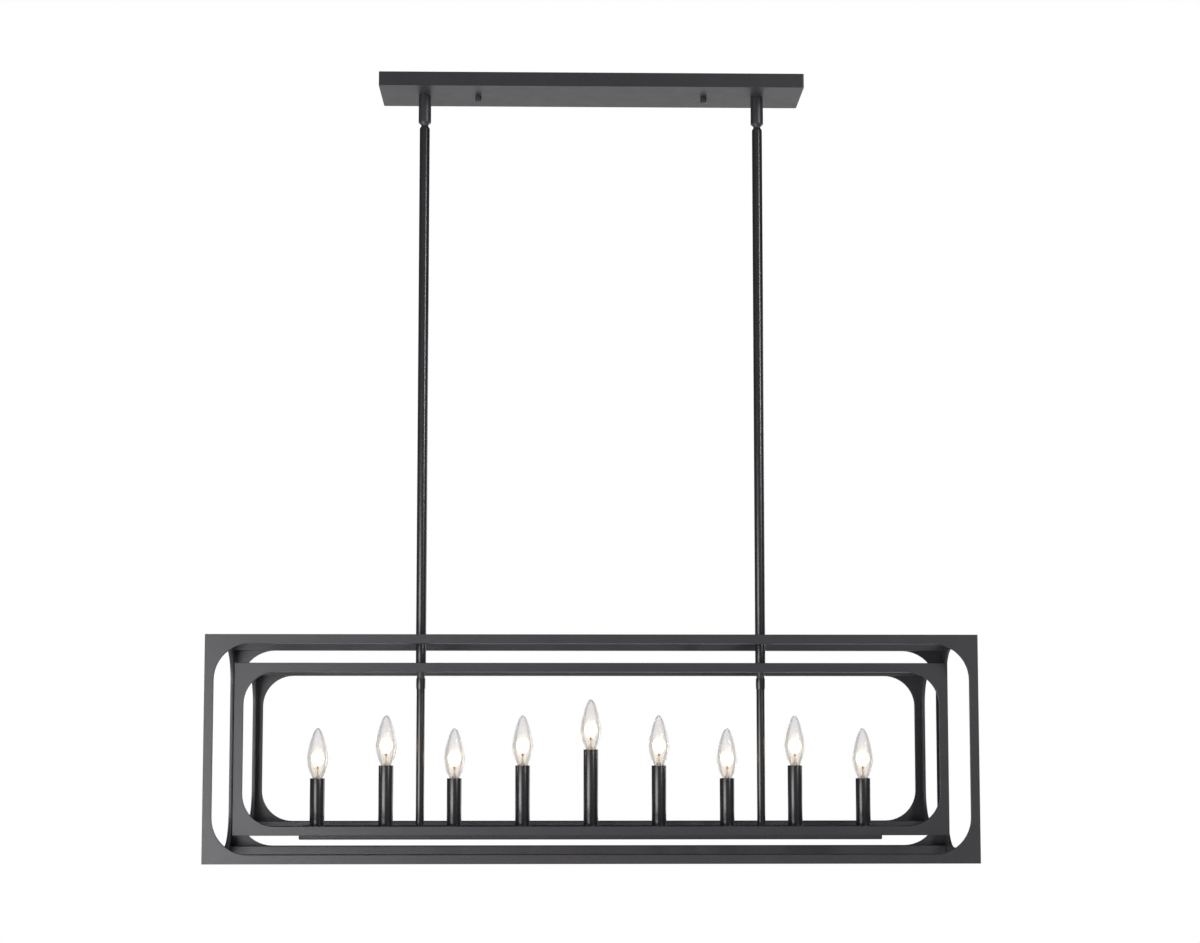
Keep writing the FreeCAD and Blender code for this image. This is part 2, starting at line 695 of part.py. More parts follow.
def make_end_frame(cage, face, sign):
    """An end frame: a plate between the front and back plates, with one rounded window."""
    depth = f"({cage}_depth / 2 - frame_plate)"
    height = f"{cage}_height"
    name = f"{cage}_{face}"
    body = doc.addObject("PartDesign::Body", name)
    border = new_sketch(body, f"{name}_border", "YZ_Plane")
    draw_rectangle(border, (f"-{depth}", f"-{height} / 2"), (depth, f"{height} / 2"))
    low = (f"-{cage}_depth / 2 + end_leg", f"-{height} / 2 + frame_face")
    high = (f"{cage}_depth / 2 - end_leg", f"{height} / 2 - frame_face")
    draw_rounded(border, low, high, f"{cage}_round")
    pad(body, border, "frame_plate", "Symmetric")
    x = f"{sign}({cage}_length - frame_plate) / 2"
    middle = f"{CAGE_TOPS[cage]} - {height} / 2"
    keep(place(body, x=x, z=middle), f"{cage}_{face}_frame")


def make_strap(cage, side):
    """A flat strap across the top of a cage, between the two rails, with the nipple's hole."""
    reach = f"{cage}_depth / 2 - frame_plate - rail_depth"
    x = rod_x(side)
    foot = f"{CAGE_TOPS[cage]} - strap_thick"
    name = f"{cage}_strap_{side}"
    flat = box(
        f"{name}_flat",
        ("strap_width", f"2 * ({reach})", "strap_thick"),
        (f"{x} - strap_width / 2", f"-({reach})", foot),
    )
    hole = cylinder(f"{name}_hole", "nipple_radius + fit_gap", "strap_thick", (x, "0", foot))
    keep(cut(name, flat, hole), f"{cage}_top_strap_{side}")


def make_cages():
    """Both cages: four frames and two straps each."""
    for cage in CAGE_TOPS:
        make_long_frame(cage, "front", "-")
        make_long_frame(cage, "back", "+")
        for side, sign in SIDES.items():
            make_end_frame(cage, side, sign)
            make_strap(cage, side)


# ---------------------------------------------------------------- candle tray
def candle_x(index):
    """Where a candle stands along X, counted from the left."""
    return f"{index - (len(CANDLES) - 1) / 2} * {CANDLE_STEP}"


def rim(index):
    """The height of a candle sleeve's rim."""
    return f"{TRAY_TOP} + sleeve_{CANDLES[index]}"


def make_tray():
    """The inverted channel that carries the candles, open below, and its cover plate."""
    body = doc.addObject("PartDesign::Body", "tray_channel")
    block = new_sketch(body, "tray_outside", "XY_Plane")
    low = ("-tray_length / 2", "-tray_width / 2")
    high = ("tray_length / 2", "tray_width / 2")
    draw_rectangle(block, low, high)
    pad(body, block, "tray_height")
    hollow = new_sketch(body, "tray_inside", "XY_Plane")
    low = ("-tray_length / 2 + tray_wall", "-tray_width / 2 + tray_wall")
    high = ("tray_length / 2 - tray_wall", "tray_width / 2 - tray_wall")
    draw_rectangle(hollow, low, high)
    pocket(body, hollow, "tray_height - tray_wall", reverse=True)
    holes = new_sketch(body, "tray_holes", "XY_Plane")
    for index in range(len(CANDLES)):
        draw_circle(holes, candle_x(index), "0", "riser_radius + fit_gap")
    for side in SIDES:
        draw_circle(holes, rod_x(side), "0", "tray_screw_radius + fit_gap")
    pocket(body, holes, "tray_height", reverse=True)
    keep(place(body, z=TRAY_FOOT), "candle_tray")

    plate = doc.addObject("PartDesign::Body", "cover_plate")
    face = new_sketch(plate, "cover_outline", "XZ_Plane")
    draw_rectangle(
        face, ("-tray_length / 2 + cover_round", "-cover_thick"),
        ("tray_length / 2 - cover_round", "0"),
    )
    pad(plate, face, "tray_width", "Symmetric")
    for side, sign in SIDES.items():
        end = new_sketch(plate, f"cover_end_{side}", "XZ_Plane")
        inner = f"{sign}(tray_length / 2 - cover_round)"
        outer = f"{sign}tray_length / 2"
        draw_polygon(
            end,
            [(inner, "0"), (outer, "0"), (outer, "cover_round - cover_thick"),
             (inner, "-cover_thick")],
        )
        pad(plate, end, "tray_width", "Symmetric")
    keep(place(plate, z=TRAY_FOOT), "tray_cover")


def make_sockets():
    """Nine sockets on threaded risers, hidden inside the sleeves."""
    risers = []
    sockets = []
    for index in range(len(CANDLES)):
        x = candle_x(index)
        number = index + 1
        socket_foot = f"{rim(index)} - socket_recess - socket_length"
        riser_foot = f"{TRAY_TOP} - riser_tail"
        riser_length = f"({socket_foot} + riser_grip) - ({riser_foot})"
        pipe = cylinder(f"riser_{number}_pipe", "riser_radius", riser_length, (x, "0", riser_foot))
        seat = cylinder(f"riser_{number}_seat", "riser_seat", "seat_thick", (x, "0", TRAY_TOP))
        whole = fuse(f"riser_{number}_whole", [pipe, seat])
        way = cylinder(f"riser_{number}_way", "riser_bore", riser_length, (x, "0", riser_foot))
        risers.append(cut(f"riser_{number}", whole, way))
        barrel = cylinder(
            f"socket_{number}_barrel", "socket_radius", "socket_length", (x, "0", socket_foot)
        )
        mouth = f"{rim(index)} - socket_recess"
        bore = cylinder(
            f"socket_{number}_bore", "base_radius + thread_gap", "socket_depth",
            (x, "0", f"{mouth} - socket_depth"),
        )
        foot_bore = cylinder(
            f"socket_{number}_foot", "riser_radius + fit_gap", "riser_grip", (x, "0", socket_foot)
        )
        hollows = doc.addObject("Part::MultiFuse", f"socket_{number}_hollows")
        hollows.Shapes = [bore, foot_bore]
        sockets.append(cut(f"socket_{number}", barrel, hollows))
    keep(group("riser_set", risers), "socket_risers")
    keep(group("socket_set", sockets), "lamp_sockets")


def make_sleeves():
    """The candle sleeves, in one node for each of the three heights."""
    bore = "sleeve_radius - sleeve_wall"
    for size in ("low", "mid", "high"):
        top = f"sleeve_{size}"
        profile = [
            (bore, "0"),
            ("sleeve_radius", "0"),
            ("sleeve_radius", f"{top} - sleeve_bevel"),
            ("sleeve_radius - sleeve_bevel", top),
            (bore, top),
        ]
        sleeves = []
        for index, candle in enumerate(CANDLES):
            if candle == size:
                sleeve = turned(f"sleeve_{index + 1}", profile)
                sleeves.append(place(sleeve, x=candle_x(index), z=TRAY_TOP))
        keep(group(f"sleeve_set_{size}", sleeves), f"candle_sleeves_{size}")


def glass_curve(inset):
    """One side of a bulb's glass, from its neck out to the widest part and in to the tip."""
    neck = value("bulb_neck") - inset
    wide = value("bulb_radius") - inset
    tall = value("bulb_height") - inset
    belly = value("belly_height")
    lower = [
        (neck, 0),
        (neck + value("flare_out"), value("flare_up")),
        (wide, belly - value("belly_below")),
        (wide, belly),
    ]
    upper = [
        (wide, belly),
        (wide, belly + value("belly_above")),
        (value("tip_spread") - inset, tall),
        (0, tall),
    ]
    edges = []
    for poles in (lower, upper):
        curve = Part.BezierCurve()
        curve.setPoles([FreeCAD.Vector(radius, 0, height) for radius, height in poles])
        edges.append(curve.toShape())
    return edges


def glass_shape():
    """The hollow glass of a torpedo bulb, its open neck at Z = 0."""
    tall = value("bulb_height")
    neck = value("bulb_neck")
    wall = value("glass_wall")
    tip = Part.makeLine(FreeCAD.Vector(0, 0, tall), FreeCAD.Vector(0, 0, tall - wall))
    foot = Part.makeLine(FreeCAD.Vector(neck - wall, 0, 0), FreeCAD.Vector(neck, 0, 0))
    edges = glass_curve(0) + [tip] + glass_curve(wall) + [foot]
    face = Part.Face(Part.Wire(Part.sortEdges(edges)[0]))
    return face.revolve(FreeCAD.Vector(0, 0, 0), FreeCAD.Vector(0, 0, 1), 360)


def make_bulbs():
    """Nine torpedo bulbs, each a screw base with a cup, and the glass that stands on it."""
    profile = [
        ("0", "-base_length - contact_length"),
        ("contact_radius", "-base_length - contact_length"),
        ("contact_radius", "-base_length"),
        ("base_radius", "-base_length + contact_radius"),
        ("base_radius", "cup_gap"),
        ("cup_radius", "cup_gap + (cup_radius - base_radius) / 2"),
        ("cup_radius", "cup_height"),
        ("0", "cup_height"),
    ]
    glass = glass_shape()
    for index in range(len(CANDLES)):
        number = index + 1
        mouth = f"{rim(index)} - socket_recess"
        base = turned(f"base_{number}", profile)
        keep(place(base, x=candle_x(index), z=mouth), f"bulb_base_{number}")
        bulb = doc.addObject("Part::Feature", f"glass_{number}")
        bulb.Shape = glass
        keep(place(bulb, x=candle_x(index), z=f"{mouth} + cup_height"), f"bulb_glass_{number}")


# ---------------------------------------------------------------- build and write
def check():
    """Stop if any object failed, or a sub-part isn't a sound solid."""
    doc.recompute()
    for thing in doc.Objects:
        if "Invalid" in thing.State or "Error" in thing.State:
            raise RuntimeError(f"{thing.Name} failed: {thing.State}")
    for node, thing in nodes.items():
        shape = thing.Shape
        if shape.isNull() or not shape.isValid() or not shape.Solids:
            raise RuntimeError(f"{node} is not a sound solid")


def write():
    """One STEP file for each sub-part."""
    os.makedirs("parts", exist_ok=True)
    for node, thing in nodes.items():
        thing.Shape.exportStep(os.path.join("parts", f"{node}.step"))
        bounds = thing.Shape.BoundBox
        print(
            f"{node:24s} solids {len(thing.Shape.Solids)}  "
            f"{bounds.XLength:8.1f} x {bounds.YLength:7.1f} x {bounds.ZLength:7.1f}  "
            f"volume {thing.Shape.Volume / 1000:9.2f} cm3"
        )
    print(f"{len(nodes)} sub-parts")


make_bracket()
make_ground_screw()
make_studs()
make_canopy()
make_knobs()
make_swivel_studs()
make_collars()
make_balls()
make_rods()
make_couplings()
make_stems()
make_cages()
make_tray()
make_sockets()
make_sleeves()
make_bulbs()
check()
write()
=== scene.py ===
# %% [markdown]
# # A linear island pendant, dressed for its portrait
#
# The real object is a slim canopy, two swivel rods, two nested cages of black powder-coated
# steel, and a tray with nine candle lights. The construction comes ready made, at its real size,
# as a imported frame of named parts. This notebook adds what the eye reads as real: softened
# edges, the grain of a powder coat, blown glass, glowing filaments and a photographer's light.
#
# Every length is in metres. X runs along the canopy, -Y faces the viewer, and Z = 0 is the
# ceiling, so the fixture hangs below it.

# %% Load the frame
import json
import math

import bmesh
import bpy
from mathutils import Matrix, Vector

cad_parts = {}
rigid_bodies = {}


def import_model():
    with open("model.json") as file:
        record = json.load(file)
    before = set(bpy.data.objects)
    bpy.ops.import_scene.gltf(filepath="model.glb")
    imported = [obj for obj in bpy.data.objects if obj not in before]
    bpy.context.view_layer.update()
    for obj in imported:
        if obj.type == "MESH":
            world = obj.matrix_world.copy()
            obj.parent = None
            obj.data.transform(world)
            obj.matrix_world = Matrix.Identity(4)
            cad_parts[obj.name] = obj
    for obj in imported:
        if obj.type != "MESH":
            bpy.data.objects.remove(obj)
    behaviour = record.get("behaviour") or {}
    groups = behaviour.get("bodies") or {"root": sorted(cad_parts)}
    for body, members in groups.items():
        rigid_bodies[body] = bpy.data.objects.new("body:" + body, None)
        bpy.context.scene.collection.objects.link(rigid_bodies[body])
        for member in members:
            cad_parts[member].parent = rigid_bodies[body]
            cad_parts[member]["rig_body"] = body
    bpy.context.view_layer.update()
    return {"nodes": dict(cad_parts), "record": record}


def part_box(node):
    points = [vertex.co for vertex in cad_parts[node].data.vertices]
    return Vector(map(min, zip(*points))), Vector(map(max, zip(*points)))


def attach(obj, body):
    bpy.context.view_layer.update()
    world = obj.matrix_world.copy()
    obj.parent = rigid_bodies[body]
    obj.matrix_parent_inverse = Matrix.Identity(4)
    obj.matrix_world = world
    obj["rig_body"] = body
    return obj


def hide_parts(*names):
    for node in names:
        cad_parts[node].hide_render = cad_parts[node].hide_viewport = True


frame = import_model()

RECORD = frame["record"]
NODES = frame["nodes"]
SIDES = ("left", "right")

# %% [markdown]
# ## Writing shader maths as sums
#
# A surface needs many small sums: a mask times a noise, one minus a slope. Wiring a Math node
# for each by hand hides the sum. A small class wraps a node's output socket instead, and gives
# it Python's own operators, so that the line reads as the formula does.

# %% Adding a node in one line


def set_stops(ramp, stops):
    """Fill a colour ramp from (position, colour) pairs."""
    while len(ramp.elements) > 1:
        ramp.elements.remove(ramp.elements[-1])
    for index, (position, colour) in enumerate(stops):
        stop = ramp.elements[0] if index == 0 else ramp.elements.new(position)
        stop.position = position
        stop.color = (*colour, 1.0)


def new_node(tree, kind, settings, inputs):
    """Add a node: its settings first, then its inputs, each a value or another node's socket.

    An input goes by its name, or by its place as at0, at1 and so on.
    """
    made = tree.nodes.new(kind)
    for name, setting in (settings or {}).items():
        if name == "stops":
            set_stops(made.color_ramp, setting)
        else:
            setattr(made, name, setting)
    for name, given in inputs.items():
        plug = made.inputs[int(name[2:]) if name.startswith("at") else name.replace("_", " ")]
        if isinstance(given, bpy.types.NodeSocket):
            tree.links.new(given, plug)
        else:
            plug.default_value = given
    return made


# %% A socket that can be added and multiplied


class Shade:
    """An output socket of a shader's node tree, with arithmetic."""

    def __init__(self, tree, socket):
        self.tree = tree
        self.socket = socket

    def node(self, kind, settings=None, output=0, **inputs):
        """Any other node of the same tree, with values or shades on its inputs."""
        plain = {name: given.socket if isinstance(given, Shade) else given
                 for name, given in inputs.items()}
        made = new_node(self.tree, kind, settings, plain)
        return Shade(self.tree, made.outputs[output])

    def maths(self, operation, *others):
        """One Math node on this value and others."""
        places = {f"at{index}": other for index, other in enumerate((self, *others))}
        return self.node("ShaderNodeMath", {"operation": operation}, **places)

    def __add__(self, other):
        return self.maths("ADD", other)

    def __sub__(self, other):
        return self.maths("SUBTRACT", other)

    def __mul__(self, other):
        return self.maths("MULTIPLY", other)

    def __pow__(self, other):
        return self.maths("POWER", other)

    def __radd__(self, other):
        return self + other

    def __rmul__(self, other):
        return self * other

    def __rsub__(self, other):
        return (self * -1.0) + other

    def clamp(self, low=0.0, high=1.0):
        """Keep the value between two limits."""
        return self.maths("MAXIMUM", low).maths("MINIMUM", high)


# %% [markdown]
# ## Materials
#
# Powder coat is polyester dust that melts into a film, so it has a faint orange peel of a few
# millimetres, a finer grain, and a gloss that drifts a little across a sheet. The flat sheets
# are satin, and the tubes and sleeves are glossier. Pictures could show all this, but they need
# every piece unwrapped. Noise on Object coordinates doesn't, and it has no seams. Every piece
# sits at the origin in metres, so a scale of 900 means 900 waves a metre.

# %% Tools for surfaces


def cleared_tree(owner):
    """The empty node tree of a material or a world."""
    owner.use_nodes = True
    owner.node_tree.nodes.clear()
    return owner.node_tree


def new_material(name, build, **fixed):
    """A material with one Principled shader.

    Constants go on its own sockets, then build adds what varies.
    """
    material = bpy.data.materials.new(name)
    tree = cleared_tree(material)
    shader = tree.nodes.new("ShaderNodeBsdfPrincipled")
    output = tree.nodes.new("ShaderNodeOutputMaterial")
    tree.links.new(shader.outputs["BSDF"], output.inputs["Surface"])
    for socket, number in fixed.items():
        shader.inputs[socket.replace("_", " ")].default_value = number
    place = Shade(tree, tree.nodes.new("ShaderNodeTexCoord").outputs["Object"])
    for socket, shade in build(place).items():
        tree.links.new(shade.socket, shader.inputs[socket.replace("_", " ")])
    return material


def noise(place, scale, detail=2.0, roughness=0.5):
    """Soft noise from 0 to 1, with this many waves a metre."""
    return place.node("ShaderNodeTexNoise", Vector=place, Scale=scale, Detail=detail,
                      Roughness=roughness)


def stretched(place, waves):
    """The same place, with its own number of waves a metre along each axis."""
    return place.node("ShaderNodeMapping", Vector=place, Scale=waves)


def ramp(shade, *stops):
    """A colour for each value from 0 to 1, from (position, colour) stops."""
    return shade.node("ShaderNodeValToRGB", {"stops": stops}, Fac=shade)


def mixed(shade, dark, light):
    """Blend two colours by a value from 0 to 1."""
    return ramp(shade, (0.0, dark), (1.0, light))


def bumped(height, distance):
    """A normal from a height that runs from 0 to 1, this many metres tall."""
    return height.node("ShaderNodeBump", Height=height, Distance=distance, Strength=1.0)


def along_mark(place):
    """A mark that a lamp's mesh carries: 0 at its foot and 1 at its top.

    The nine lamps stand at different heights, so a height in the scene would not do.
    """
    return place.node("ShaderNodeAttribute", {"attribute_name": "along"}, output=2)


# %% Coats, metals and plastic
CLOUD_WAVES, GLOSS_WAVES, PEEL_WAVES, GRAIN_WAVES = 14.0, 40.0, 320.0, 900.0
TARNISH_WAVES, FLOW_WAVES, PORE_WAVES = 120.0, 260.0, 1600.0
FINE_BUMP = 0.00002


def powder_coat(dark, light, gloss, peel):
    """Powder coat: colour, gloss and orange peel."""

    def build(place):
        clouds = noise(place, CLOUD_WAVES)
        grain = noise(place, GRAIN_WAVES, detail=3.0, roughness=0.6)
        drift = noise(place, GLOSS_WAVES) - 0.5
        return {
            "Base_Color": mixed(clouds * 0.7 + grain * 0.3, dark, light),
            "Roughness": drift * 0.10 + (grain - 0.5) * 0.08 + gloss,
            "Normal": bumped(grain * 0.6 + noise(place, PEEL_WAVES) * 0.4, peel),
        }

    return build


def metal(dark, light, gloss, waves):
    """Plated metal with fine drawn lines round the piece."""

    def build(place):
        lines = noise(stretched(place, waves), 1.0, detail=4.0, roughness=0.7)
        return {
            "Base_Color": mixed(noise(place, TARNISH_WAVES), dark, light),
            "Roughness": lines * 0.18 + gloss,
            "Normal": bumped(lines, FINE_BUMP),
        }

    return build


def moulded(dark, light, gloss):
    """Black phenolic of the lamp sockets: fine flow marks."""

    def build(place):
        flow = noise(place, FLOW_WAVES, detail=4.0, roughness=0.6)
        return {
            "Base_Color": mixed(flow, dark, light),
            "Roughness": flow * 0.15 + gloss,
            "Normal": bumped(noise(place, PORE_WAVES), FINE_BUMP),
        }

    return build


PAINT = new_material(
    "black_powder_coat",
    powder_coat((0.017, 0.0155, 0.019), (0.027, 0.0245, 0.030), gloss=0.43, peel=0.00004),
    Specular_IOR_Level=0.5,
)
TUBE_PAINT = new_material(
    "black_tube_coat",
    powder_coat((0.012, 0.011, 0.013), (0.019, 0.0175, 0.0205), gloss=0.25, peel=0.00001),
    Specular_IOR_Level=0.5,
)
STEEL = new_material(
    "zinc_plated_steel",
    metal((0.52, 0.53, 0.54), (0.68, 0.68, 0.66), gloss=0.26, waves=(60.0, 60.0, 1400.0)),
    Metallic=1.0,
)
BRASS = new_material(
    "nickel_plated_brass",
    metal((0.62, 0.57, 0.47), (0.76, 0.72, 0.63), gloss=0.2, waves=(60.0, 60.0, 1800.0)),
    Metallic=1.0,
)
GREEN = new_material(
    "green_ground_paint",
    powder_coat((0.030, 0.20, 0.065), (0.05, 0.28, 0.10), gloss=0.4, peel=0.00002),
)
PLASTIC = new_material(
    "socket_plastic",
    moulded((0.018, 0.018, 0.018), (0.032, 0.031, 0.030), gloss=0.42),
)
COATS = (PAINT, TUBE_PAINT, STEEL, BRASS, GREEN, PLASTIC)
print("finishes", [finish.name for finish in COATS])

# %% [markdown]
# ## Glass and glowing wire
#
# A lamp's glass is thin, clear and a little uneven. Its colour has the filament's light painted
# in as a cream glow beside the filament, and it is greyer at its tip. A tint by height in the
# scene would differ from lamp to lamp, because they stand at three heights, so each lamp's mesh
# carries a mark that runs from its foot to its top.
# The wire shines by itself, a little cooler where it is thicker.

# %% Glass, stem and filament
GLASS_IOR = 1.46
RIPPLE_WAVES, RIPPLE_BUMP = (300.0, 300.0, 18.0), 0.000008
SMEAR_WAVES, HEAT_WAVES = 2600.0, 700.0


def glass_tint_and_painted_glow(place):
    """Clear glass, greyer towards its tip, with a painted cream glow where the filament lights
    it.
    """
    # The cream stops around the filament's height are painted light: the filament's glow set into
    # the glass's colour.
    tint_and_painted_glow = ramp(
        along_mark(place),
        (0.00, (0.78, 0.73, 0.67)), (0.22, (0.83, 0.79, 0.74)), (0.42, (0.86, 0.83, 0.79)),
        (0.62, (0.82, 0.80, 0.785)), (0.80, (0.78, 0.76, 0.765)), (1.00, (0.74, 0.72, 0.735)),
    )
    ripple = noise(stretched(place, RIPPLE_WAVES), 1.0)
    return {"Base_Color": tint_and_painted_glow, "Normal": bumped(ripple, RIPPLE_BUMP)}


def pinched_stem(place):
    """The lamp's stem: pale glass that ends in a small brown bead."""
    colour = ramp(
        along_mark(place),
        (0.00, (0.80, 0.78, 0.74)), (0.76, (0.72, 0.66, 0.58)), (0.84, (0.20, 0.10, 0.05)),
    )
    smear = noise(place, SMEAR_WAVES, detail=3.0)
    return {"Base_Color": colour, "Roughness": smear * 0.2 + 0.05}


def white_heat(place):
    """A glowing spiral, a little cooler where the noise says the wire is thicker."""
    heat = noise(place, HEAT_WAVES)
    return {"Emission_Color": mixed(heat, (1.0, 0.58, 0.27), (1.0, 0.72, 0.42)),
            "Roughness": heat * 0.2 + 0.3}


GLASS = new_material("bulb_glass", glass_tint_and_painted_glow, Roughness=0.0, IOR=GLASS_IOR, Alpha=0.5,
                     Transmission_Weight=1.0)
STEM = new_material("lamp_stem_glass", pinched_stem, IOR=GLASS_IOR, Transmission_Weight=0.6)
FILAMENT = new_material("glowing_filament", white_heat, Base_Color=(0.2, 0.2, 0.2, 1.0),
                        Emission_Strength=9.0)
print("lamp materials", [clear.name for clear in (GLASS, STEM, FILAMENT)])

# %% [markdown]
# ## Pieces
#
# Two ways of making cover nearly everything. A folded or welded sheet takes the CAD's own faces,
# merges their triangles back into flat faces, and gets a small bevel, because a powder coat
# pulls back from a sharp corner and rounds it. A turned piece is drawn as half a section with
# rounded corners and spun round its axis, because a bevel on the CAD's own round faces would
# follow their facets.

# %% Placing a piece
COAT_SLOT, GLASS_SLOT, BRASS_SLOT = "black_powder_coat", "clear_glass", "nickel_plated_brass"
MADE = []


def placed(name, data):
    """A new object that is linked to the scene."""
    made = bpy.data.objects.new(name, data)
    bpy.context.scene.collection.objects.link(made)
    return made


def kept_mesh(helper, name):
    """The mesh that a helper object makes once its modifiers run. The helper itself goes."""
    bpy.context.view_layer.update()
    seen = helper.evaluated_get(bpy.context.evaluated_depsgraph_get())
    made = bpy.data.meshes.new_from_object(seen)
    made.name = name
    bpy.data.objects.remove(helper)
    return made


def add_piece(name, mesh, material, body, nodes=()):
    """Put a finished mesh in the scene, on its body, in place of the nodes it stands for."""
    mesh.materials.clear()
    mesh.materials.append(material)
    piece = placed(name, mesh)
    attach(piece, body)
    if nodes:
        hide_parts(*nodes)
    MADE.append(name)


def report(step):
    """Print the pieces that a step made, and start the list again."""
    print(step, len(MADE), "pieces:", ", ".join(MADE))
    MADE.clear()


# %% Softening a sheet
SHEET_EDGE, PLATE_EDGE = 0.0004, 0.0006


def soften(node, width):
    """A bevelled copy of a CAD node, in its place."""
    shape = bmesh.new()
    shape.from_mesh(NODES[node].data)
    bmesh.ops.remove_doubles(shape, verts=shape.verts, dist=0.00001)
    bmesh.ops.dissolve_limit(shape, angle_limit=math.radians(0.5), verts=shape.verts,
                             edges=shape.edges)
    for face in shape.faces:
        face.smooth = True
    mesh = bpy.data.meshes.new(node)
    shape.to_mesh(mesh)
    shape.free()
    old_normals = mesh.attributes.get("custom_normal")
    if old_normals:
        mesh.attributes.remove(old_normals)
    name = f"{node}_coated"
    helper = placed(name, mesh)
    bevel = helper.modifiers.new("Bevel", "BEVEL")
    bevel.width = width
    bevel.segments = 2
    bevel.limit_method = "ANGLE"
    bevel.angle_limit = math.radians(40)
    bevel.harden_normals = True
    helper.modifiers.new("Flat_faces", "WEIGHTED_NORMAL").keep_sharp = True
    made = kept_mesh(helper, name)
    bpy.data.meshes.remove(mesh)
    add_piece(name, made, PAINT, NODES[node]["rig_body"], [node])


# %% Turning
EASE_STEPS = 4
SHARP = math.radians(50)


def rounded(corners, closed=False):
    """Points of a section whose corners, each (radius, height, rounding), are eased."""
    points = []
    last = len(corners) - 1
    for index, (across, up, ease) in enumerate(corners):
        here = Vector((across, up))
        if ease == 0 or (not closed and index in (0, last)):
            points.append(here)
            continue
        before = (Vector(corners[index - 1][:2]) - here).normalized() * ease
        after = (Vector(corners[(index + 1) % (last + 1)][:2]) - here).normalized() * ease
        for step in range(EASE_STEPS + 1):
            part = step / EASE_STEPS
            points.append(here + before * (1 - part) ** 2 + after * part ** 2)
    return points


def turn(name, points, x, closed=False, sides=72):
    """Spin a section of (radius, height) round the upright axis at x."""
    shape = bmesh.new()
    rings = []
    for radius, height in points:
        count = 1 if radius < 1e-7 else sides
        rings.append([
            shape.verts.new((x + radius * math.cos(2 * math.pi * step / sides),
                             radius * math.sin(2 * math.pi * step / sides), height))
            for step in range(count)
        ])
    pairs = list(zip(rings, rings[1:])) + ([(rings[-1], rings[0])] if closed else [])
    for low, high in pairs:
        for step in range(sides):
            after = (step + 1) % sides
            corners = [low[step % len(low)], low[after % len(low)],
                       high[after % len(high)], high[step % len(high)]]
            unique = list(dict.fromkeys(corners))
            if len(unique) > 2:
                shape.faces.new(unique)
    bmesh.ops.recalc_face_normals(shape, faces=shape.faces)
    for face in shape.faces:
        face.smooth = True
    for edge in shape.edges:
        if len(edge.link_faces) == 2 and edge.calc_face_angle() > SHARP:
            edge.smooth = False
    mesh = bpy.data.meshes.new(name)
    shape.to_mesh(mesh)
    shape.free()
    return mesh


def middle(node):
    """The x of a node's middle, and its lowest and highest z."""
    low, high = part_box(node)
    return (low[0] + high[0]) / 2, low[2], high[2]


def turned_piece(node, section, material, closed=True):
    """A turned piece that stands for one CAD node; section gets its foot and top heights."""
    x, foot, top = middle(node)
    name = f"{node}_turned"
    mesh = turn(name, rounded(section(foot, top), closed), x, closed)
    add_piece(name, mesh, material, NODES[node]["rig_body"], [node])


# %% [markdown]
# ## The ceiling mount
#
# The canopy is one folded sheet, open at the top. The collar's lip curls in under the ball, and
# the ball, its neck and the rod's tapered cap are one turned piece. A sphere and cylinders
# could be joined instead, but one section gives one skin, with a soft corner at each step.

# %% Canopy, collars, balls and knobs
BALL = 0.0085
SEAT = 0.00856
LIP = 0.0035
COLLAR_RADIUS = 0.010
NECK_RADIUS, CAP_RADIUS, PLUG_RADIUS = 0.0055, 0.008, 0.00625
PLUG_LENGTH, CAP_TOP = 0.014, 0.018
KNOB_RADIUS, KNOB_BEVEL = 0.005, 0.0015
DIMPLE_RADIUS, DIMPLE_DEPTH = 0.0012, 0.0003
SEAT_STEPS, BALL_STEPS = 6, 16


def collar_section(foot, top):
    """A cup with a seat for the ball, just above its lip."""
    lowest = math.asin(-LIP / SEAT)
    seat = [(SEAT * math.cos(angle), foot + LIP + SEAT * math.sin(angle), 0)
            for angle in (lowest * part / SEAT_STEPS for part in range(SEAT_STEPS - 1, -1, -1))]
    mouth = SEAT * math.cos(lowest)
    return [(SEAT, top, 0), (COLLAR_RADIUS, top, 0.0003), (COLLAR_RADIUS, foot, 0.0016),
            (mouth, foot, 0.0004), *seat]


def ball_section(foot, top):
    """Ball, neck, tapered cap and the plug inside the rod."""
    centre = top - BALL
    lowest = math.asin(-math.sqrt(BALL ** 2 - NECK_RADIUS ** 2) / BALL)
    arc = [math.pi / 2 + (lowest - math.pi / 2) * step / BALL_STEPS
           for step in range(1, BALL_STEPS + 1)]
    ball = [(BALL * math.cos(angle), centre + BALL * math.sin(angle), 0) for angle in arc]
    rod_top = foot + PLUG_LENGTH
    return [(0, top, 0), *ball, (NECK_RADIUS, foot + CAP_TOP, 0.0005),
            (CAP_RADIUS, rod_top, 0.0004), (PLUG_RADIUS, rod_top, 0),
            (PLUG_RADIUS, foot, 0.0005), (0, foot, 0)]


def knob_section(foot, top):
    """A round nut with a bevelled foot and a shallow dimple."""
    return [(0, top, 0), (KNOB_RADIUS, top, 0.0003), (KNOB_RADIUS, foot + KNOB_BEVEL, 0.0005),
            (KNOB_RADIUS - KNOB_BEVEL, foot, 0.0004), (DIMPLE_RADIUS, foot, 0.0003),
            (0, foot + DIMPLE_DEPTH, 0)]


soften("canopy", SHEET_EDGE)
for side in SIDES:
    turned_piece(f"swivel_collar_{side}", collar_section, PAINT)
    turned_piece(f"swivel_ball_{side}", ball_section, PAINT, closed=False)
    turned_piece(f"canopy_knob_{side}", knob_section, PAINT, closed=False)
report("ceiling mount")

# %% [markdown]
# ## The hanging frame
#
# Rods, spacers, couplings and lower stems are tubes. They are turned, and each one's foot and
# top come from its node, so they meet as the CAD's do. The cages, their straps and the tray are
# flat steel. Drawing them again could only move a window or a fold, so they are softened.

# %% Rods, spacers, couplings and stems
ROD_RADIUS, ROD_BORE = 0.008, 0.00635
STEM_RADIUS, STEM_BORE = 0.0065, 0.0055
COUPLING_RADIUS, COUPLING_BORE, COUPLING_ROOF = 0.0072, 0.0066, 0.008


